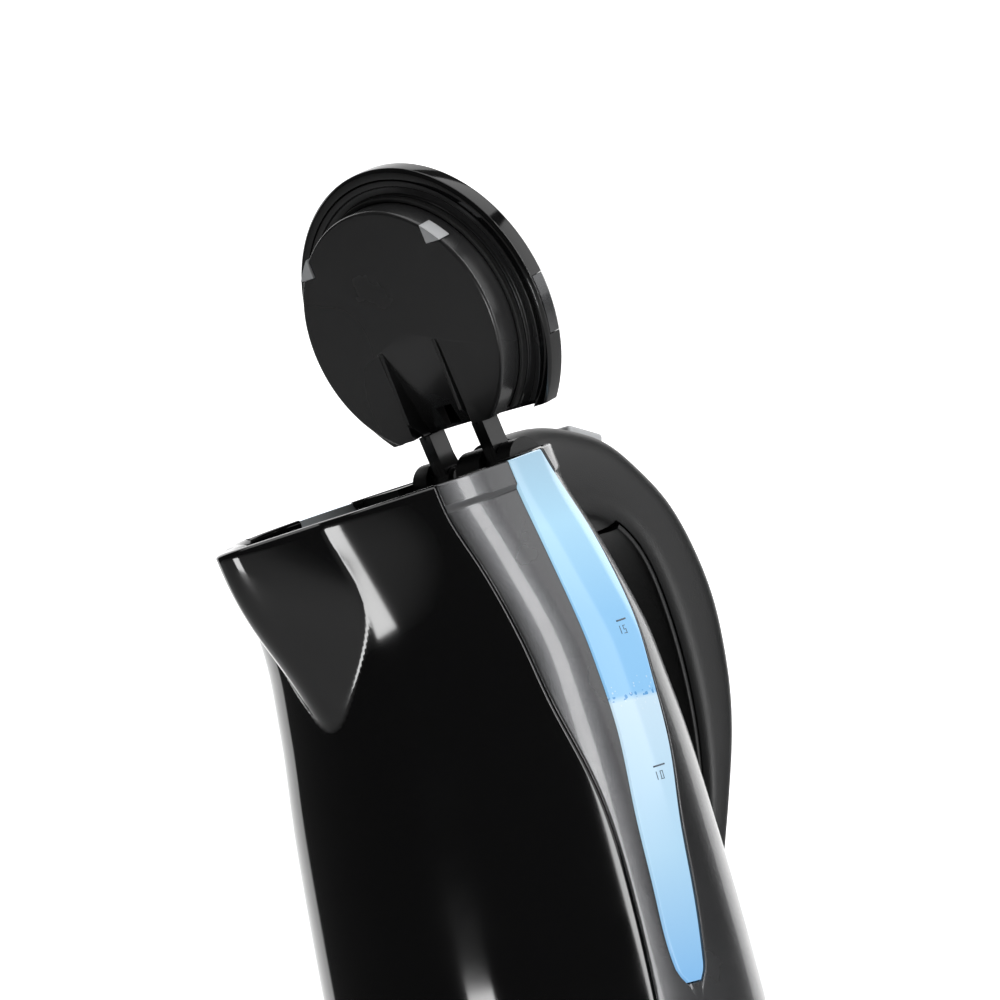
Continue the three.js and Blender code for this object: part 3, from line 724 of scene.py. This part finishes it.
# each character as bars on a grid 2 wide and 4 high: start and end of each bar
GLYPHS = {
    "0": [(0, 0, 2, 0), (0, 4, 2, 4), (0, 0, 0, 4), (2, 0, 2, 4)],
    "1": [(1, 0, 1, 4)],
    "5": [(0, 0, 2, 0), (2, 0, 2, 2), (0, 2, 2, 2), (0, 2, 0, 4), (0, 4, 2, 4)],
    ".": [(0.9, 0, 1.1, 0)],
}
# height of each level's line, its figures and where the line starts
LEVELS = [(175.5, "1.5", 14.5), (125.6, "1.0", 8.5)]


def number(side, text, x, z, size):
    """Figures of a level mark, built from flat bars, that read the right way round on either side."""
    strokes, pen, middle = [], x, x + size
    for char in text:
        for x0, z0, x1, z1 in GLYPHS[char]:
            u0, u1 = pen + x0 * size / 4, pen + x1 * size / 4
            if side > 0:
                u0, u1 = 2 * middle - u1, 2 * middle - u0
            w = size * 0.09
            low, high = z + z0 * size / 4 - w / 2, z + z1 * size / 4 + w / 2
            strokes.append(stroke(side, u0 - w / 2, u1 + w / 2, (low + high) / 2, high - low))
        pen += size * (0.35 if char == "." else 0.72)
    return strokes


def make_marks(side, name):
    strokes = []
    for level, text, x in LEVELS:
        strokes.append(stroke(side, x - 1, x + 5.5, level, 0.55))
        strokes += number(side, text, x - 1, level - 4.4, 2.6)
    obj = join(f"{name}_marks", strokes)
    place(obj, "jug", "window_blue")


# ---- hinge housing ------------------------------------------------------------------
def make_hinge():
    """The block at the back of the rim, with its ears, the arm slots and the pin's bore."""
    inside = solid_jug("inside", WALL + GAP, FLOOR_Z, -0.4)
    housing = block("hinge_housing_moulding", (13, -60, 205), (60, 60, 262))
    carve(housing, "INTERSECT", inside)
    carve(housing, "DIFFERENCE", block("under", (0, -70, 190), (70, 70, 210)))
    carve(housing, "DIFFERENCE", block("well", (0, -24.5, 229.5), (34.3, 24.5, 262)))
    for y0, y1 in ((-24, -17.3), (-8.7, 2.6), (17.3, 24)):
        knuckle = rod_y("knuckle", 8, y0, y1, HINGE_X, HINGE_Z)
        root = block("root", (HINGE_X - 3, y0, 229), (36, y1, HINGE_Z + 1))
        carve(knuckle, "UNION", root)
        carve(housing, "UNION", knuckle)
    carve(housing, "DIFFERENCE", rod_y("bore", PIN_BORE, -22.5, 22.5, HINGE_X, HINGE_Z))
    carve(housing, "DIFFERENCE", block("catch_way", (0, -4.5, 219.5), (60, 4.5, 227)))
    for y in (-40, -33):
        carve(housing, "DIFFERENCE", block("slot", (12, y, 214), (14, y + 4.5, 224)))
    paint(housing, SATIN_BLACK)
    place(housing, "jug", "satin_black", "hinge_housing")


# ---- handle, grip cover and release button ------------------------------------------
BUTTON = Matrix.Translation(Vector((76, 0, 240.5)) * MM) @ Matrix.Rotation(math.radians(20), 4, "Y")


def tube_between(name, outer, inner, half, power):
    """A closed black bar whose section spans two side-view lines; a higher power makes it squarer."""
    steps = 48
    a = np.linspace(0, 2 * math.pi, steps, endpoint=False)
    u = np.sign(np.cos(a)) * np.abs(np.cos(a)) ** (2 / power)
    v = np.sign(np.sin(a)) * np.abs(np.sin(a)) ** (2 / power)
    middle, reach = (outer + inner) / 2, (outer - inner) / 2
    flat = middle[:, None, :] + reach[:, None, :] * u[None, :, None]
    points = np.stack([flat[..., 0], np.broadcast_to(v * half, flat.shape[:2]), flat[..., 1]], -1)
    rows = len(outer)
    obj = make(name, points.reshape(-1, 3), grid_faces(rows, steps) + end_faces(rows, steps), SATIN_BLACK)
    weld(obj)
    return sharp(obj, 50)


def coil(name, radius, wire, turns, length, matrix):
    """A wound spring along local Z, from 0 to its length."""
    steps, around = turns * 28, 10
    a = np.linspace(0, 2 * math.pi * turns, steps)[:, None]
    b = np.linspace(0, 2 * math.pi, around, endpoint=False)[None, :]
    r = radius - wire + wire * np.cos(b)
    z = wire + (length - 2 * wire) * a / a[-1] + wire * np.sin(b)
    points = np.stack([r * np.cos(a), r * np.sin(a), z], -1).reshape(-1, 3)
    return make(name, points, grid_faces(steps, around) + end_faces(steps, around), STEEL, matrix=matrix)


def make_springs():
    foot = BUTTON @ Matrix.Translation(Vector((0, 0, -7)) * MM)
    spring = coil("release_spring_coil", 3.1, 0.35, 4, 4.3, foot)
    place(spring, "jug", "steel", "release_spring")
    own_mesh(spring)
    start = Matrix.Translation(Vector((HINGE_X, 3.3, HINGE_Z)) * MM)
    along_pin = start @ Matrix.Rotation(math.radians(-90), 4, "X")
    place(coil("lid_spring_coil", 4.8, 0.6, 4, 4.8, along_pin), "jug", "steel", "lid_spring")


def make_handle():
    """The loop's shell with a bed along its inside, the pad that fills the bed, and the thumb button."""
    outer, inner = along(HANDLE_OUTER, 90), along(HANDLE_INNER, 90)
    shell = tube_between("handle_moulding", outer, inner, 14, 3.4)
    carve(shell, "DIFFERENCE", solid_jug("jug_room", -GAP, 5, GAP))
    carve(shell, "DIFFERENCE", block("button_well", (-8.4, -6.4, -6), (8.4, 6.4, 14), BUTTON))
    first = 14
    path = inner[first:-12]
    step = np.gradient(path, axis=0)
    out = np.stack([step[:, 1], -step[:, 0]], -1) / np.linalg.norm(step, axis=1)[:, None]
    sample = 20
    out = out if np.dot(out[sample], (outer - inner)[first + sample]) > 0 else -out
    carve(shell, "DIFFERENCE", tube_between("grip_bed", path + out * 2.9, path - out * 2, 11.4, 12))
    place(sharp(shell, 35), "jug", "satin_black", "handle_shell")
    path, out = path[1:-1], out[1:-1]
    cover = tube_between("handle_grip_pad", path + out * 2.6, path - out * 0.1, 11.1, 5)
    place(cover, "jug", "satin_black", "handle_grip_cover")
    button = block("release_button_cap", (-8, -6, -2.4), (8, 6, 3.4), BUTTON)
    paint(button, LIGHT_GREY)
    soft_edges(button, 1.4, 5)
    place(button, "release_button", "light_grey", "release_button")


# ---- lid ----------------------------------------------------------------------------
LID = Matrix.Translation(Vector((HINGE_X, 0, HINGE_Z)) * MM) @ Matrix.Rotation(LID_SWING, 4, "Y")
LID_DISC = LID @ Matrix.Translation(Vector((-LID_CENTRE, 0, 0)) * MM)


DRUM_CUT = -18.2                # where the drum's flange is cut off flat, from the hinge
BAND = (-58, -38)               # the trim strip's two ends, from the hinge
TAB_Y = 32
ARM_Y = 13
ARM_FIN = [(-49.5, -7.5), (-49.5, -8.1), (-24, -9), (-19, -5), (-17, -4.2), (-3, -4.2), (0, 4.8), (-9, 3.4),
           (-17.6, 3.4), (-17.6, -1), (-45, -6.6)]
ARM_WEB = [(-17.9, -4.2), (-11, -4.2), (0, -4), (0, 4.8), (-9, 3.4), (-17.6, 3.4)]


def behind(x):
    """All that lies on the hinge's side of a line across the lid, for cutting."""
    return block("rear", (x, -90, -40), (60, 90, 60), LID)


def lid_ring(name, profile, material, radius):
    """A turned piece of the lid, cut off flat at the hinge side."""
    obj = turned(name, rounded(profile, radius), material, 200, matrix=LID_DISC)
    carve(obj, "DIFFERENCE", behind(DRUM_CUT))
    return sharp(obj, 30)


def dome_line(radius, edge, crown):
    """The outside of the dome, from its edge to the middle."""
    t = np.linspace(0, 1, 24)
    return [((radius - 1.2) * (1 - u), edge + (crown - edge) * (1 - (1 - u) ** 2)) for u in t]


def under_dome(name, inset, foot, material=LID_BLACK):
    """The space under the dome as one solid, moved in all round."""
    r, edge, crown = LID_RADIUS - inset, LID_EDGE - inset, LID_CROWN - inset
    line = [(0, foot), (r, foot), (r, edge - 1.6)] + dome_line(r, edge, crown)
    return turned(name, line, material, 200, matrix=LID_DISC)


def make_lid_cover():
    """The gloss dome, with a shallow bed across it for the trim strip."""
    outside = [(53, 4), (54, 5), (54, LID_EDGE - 1.6)] + dome_line(LID_RADIUS, LID_EDGE, LID_CROWN)
    inside = dome_line(LID_RADIUS - 2.6, LID_EDGE - 2.4, LID_CROWN - 3)[::-1]
    inside += [(50.2, LID_EDGE - 3), (50.2, 4)]
    cover = turned("lid_cover_dome", rounded(outside + inside, 0.3, 3), GLOSS_BLACK, 200, matrix=LID_DISC)
    carve(cover, "DIFFERENCE", behind(-16))
    bed = block("band", (BAND[0] - GAP, -80, 5.6), (BAND[1] + GAP, 80, 40), LID)
    carve(cover, "DIFFERENCE", carve(bed, "DIFFERENCE", under_dome("shallow", 1.3, 0)))
    place(sharp(cover, 30), "lid", "gloss_black", "lid_cover")


def make_lid_trim():
    trim = under_dome("lid_trim_strip", 0.05, 5.9, SILVER)
    carve(trim, "INTERSECT", block("band", (BAND[0], -80, 0), (BAND[1], 80, 40), LID))
    carve(trim, "DIFFERENCE", under_dome("under", 1, 0))
    place(sharp(trim, 30), "lid", "silver_panel", "lid_trim")


def tab_shape(name, y, grow, top, inner, outer, low):
    """A block at the drum's front edge, kept between two radii of the lid."""
    tab = block(name, (-92 - grow, y - 4 - grow, low), (-81 + grow, y + 4 + grow, top), LID)
    around = turned("around", [(inner, -20), (outer, -20), (outer, 0), (inner, 0)], [], 160, matrix=LID_DISC)
    return carve(tab, "INTERSECT", around)


def make_lid_drum():
    """The drum with its flange, the hinge's ramp, the catch's notch and the beds of the snap tabs."""
    profile = [(0, -7.9), (42.1, -7.9), (42.7, -7.6), (43, -6.9), (43, 4), (44.8, 4), (45.2, 5), (47.4, 5),
               (47.8, 4), (49.8, 4), (49.8, 5.6), (41, 5.6), (41, -5.6), (0, -5.6)]
    drum = lid_ring("lid_drum_moulding", profile, LID_BLACK, 0.25)
    carve(drum, "UNION", block("walls", (-52, -19, -7.2), (DRUM_CUT, 19, 1), LID))
    ramp = slab("ramp", [(-50, -8), (-18, -1.2), (-18, -20), (-50, -20)], -14.4, 14.4, LID_BLACK, LID)
    carve(drum, "DIFFERENCE", ramp)
    carve(drum, "DIFFERENCE", block("catch_notch", (-26, -3.6, -20), (-18, 3.6, 2), LID))
    for y in (-TAB_Y, TAB_Y):
        carve(drum, "DIFFERENCE", tab_shape("tab_bed", y, GAP, -2.7, 38.2, 45, -20))
    paint(drum, LID_BLACK)
    place(sharp(drum, 30), "lid", "gloss_black", "lid_drum")


def make_snap_tab(side, y):
    tab = tab_shape(f"lid_snap_tab_{side}_clip", y, 0, -3, 38.5, 43.35, -8.5)
    paint(tab, LIGHT_GREY)
    place(sharp(tab, 30), "lid", "light_grey", f"lid_snap_tab_{side}")


def make_lid_seal():
    profile = [(43.3, 1.4), (44.3, 1.4), (44.6, 1.9), (44.1, 2.6), (44.6, 3.7), (43.3, 3.7)]
    place(lid_ring("lid_seal_ring", profile, RUBBER, 0.15), "lid", "rubber", "lid_seal")


def make_lid_arm(side, y):
    """A thin fin on the drum's face that runs back into a thicker web and the barrel on the pin."""
    fin = slab(f"lid_hinge_arm_{side}_fin", ARM_FIN, y - 0.7, y + 0.7, LID_BLACK, LID)
    carve(fin, "UNION", slab("web", ARM_WEB, y - 2.6, y + 2.6, LID_BLACK, LID))
    carve(fin, "UNION", rod_y("barrel", 5.2, y - 3.7, y + 3.7, matrix=LID))
    carve(fin, "DIFFERENCE", rod_y("pin_bore", PIN_BORE, y - 9, y + 9, matrix=LID))
    paint(fin, LID_BLACK)
    place(fin, "lid", "gloss_black", f"lid_hinge_arm_{side}")


def make_lid():
    make_lid_cover()
    make_lid_trim()
    make_lid_drum()
    for side, sign in (("left", 1), ("right", -1)):
        make_snap_tab(side, TAB_Y * sign)
    make_lid_seal()
    for side, sign in (("left", 1), ("right", -1)):
        make_lid_arm(side, ARM_Y * sign)


# ---- power base ---------------------------------------------------------------------
def make_base():
    r = BASE_RADIUS
    profile = [(r - 0.5, 3.2), (r, 6), (r - 0.2, 14), (r - 1.2, 18), (r - 2.2, 19), (r - 3, 18.4),
               (r - 3.2, 15), (12.6, 15), (12.6, 12.6), (r - 5, 12.6), (r - 3, 11), (r - 3, 3.2)]
    shell = turned("base_shell_moulding", rounded(profile, 0.8, 5), GLOSS_BLACK, 200)
    lying = Matrix.Translation(Vector((0, 0, 8.2)) * MM) @ Matrix.Rotation(math.radians(90), 4, "Y")
    outlet = turned("outlet", [(0, r - 8), (4, r - 8), (4, r + 4), (0, r + 4)], [], 48, matrix=lying)
    carve(shell, "DIFFERENCE", outlet)
    paint(shell, GLOSS_BLACK)
    place(sharp(shell, 30), "base", "gloss_black", "base_shell")
    for i in range(3):
        angle = math.radians(60 + 120 * i)
        centre = (62 * math.cos(angle), 62 * math.sin(angle))
        profile = rounded([(0, 0), (7, 0), (7, 2.3), (0, 2.3)], 0.4)
        foot = turned(f"rubber_foot_{i + 1}_pad", profile, RUBBER, 64, centre)
        place(foot, "base", "rubber", f"rubber_foot_{i + 1}")


# ---- room, light and camera ---------------------------------------------------------
def light(name, where, size, watts, aim=(0, 0, 0.18)):
    """A white lamp of a width and height, turned towards a point."""
    data = bpy.data.lights.new(name, "AREA")
    data.shape = "RECTANGLE"
    data.size, data.size_y = size
    data.energy = watts
    obj = bpy.data.objects.new(name, data)
    bpy.context.scene.collection.objects.link(obj)
    obj.location = where
    obj.rotation_euler = (Vector(aim) - Vector(where)).to_track_quat("-Z", "Y").to_euler()


def make_room():
    """A pale floor in front of a glowing white backdrop, in an otherwise dim room."""
    scene = bpy.context.scene
    scene.view_settings.view_transform = "Standard"
    floor = block("floor", (-2500, -2500, -2), (2500, 2500, -0.05))
    paint(floor, shader("floor_paint", (0.8, 0.8, 0.8), 0.6, tone=0.01))
    white = shader("backdrop_paint", (0.85, 0.85, 0.85), 0.6, tone=0.01)
    glow = white.node_tree.nodes["Principled BSDF"].inputs
    glow["Emission Color"].default_value = (1, 1, 1, 1)
    glow["Emission Strength"].default_value = 0.95
    facing = Matrix.Rotation(math.radians(45), 4, "Z")
    backdrop = block("backdrop", (1500, -1300, 0), (1505, 1300, 2200), facing)
    paint(backdrop, white)
    world = bpy.data.worlds.new("studio")
    scene.world = world
    world.use_nodes = True
    air = world.node_tree.nodes["Background"].inputs
    air["Color"].default_value = (1, 1, 1, 1)
    air["Strength"].default_value = 0.06


def place_camera():
    """Looks slightly up at the rim, from in front of the jug and to its right.

    The camera is rolled, so that the kettle leans to the left in the picture.
    """
    azimuth, elevation, roll = [math.radians(v) for v in (-135, -2.4, 13.5)]
    target, distance = Vector((0.018, -0.017, 0.225)), 4.0
    back = Vector((math.cos(elevation) * math.cos(azimuth), math.cos(elevation) * math.sin(azimuth),
                   math.sin(elevation)))
    right = Vector((-math.sin(azimuth), math.cos(azimuth), 0))
    up = back.cross(right)
    x_axis = right * math.cos(roll) - up * math.sin(roll)
    y_axis = right * math.sin(roll) + up * math.cos(roll)
    data = bpy.data.cameras.new("camera")
    data.lens = 431
    data.sensor_width = 36
    data.clip_start = 0.05
    data.clip_end = 30
    camera = bpy.data.objects.new("camera", data)
    bpy.context.scene.collection.objects.link(camera)
    matrix = Matrix((x_axis, y_axis, back)).transposed().to_4x4()
    matrix.translation = target + back * distance
    camera.matrix_world = matrix
    bpy.context.scene.camera = camera


dress_cad()
make_shell()
for side, name in ((-1, "right"), (1, "left")):
    make_panel(side, f"side_panel_{name}")
    make_window(side, f"water_window_{name}")
    make_marks(side, f"water_window_{name}")
make_hinge()
make_handle()
make_springs()
make_lid()
make_base()
make_room()
light("strip", (0.3, -1.15, 0.6), (0.2, 1.3), 8, (0, 0, 0.2))
light("beak", (-0.6, -0.16, 0.05), (0.15, 0.12), 0.8, (-0.07, -0.02, 0.21))
light("top", (0.2, -0.3, 1.5), (1.3, 1.3), 9)
light("handle_side", (0.9, -0.9, 0.7), (0.7, 1.0), 3.5)
place_camera()
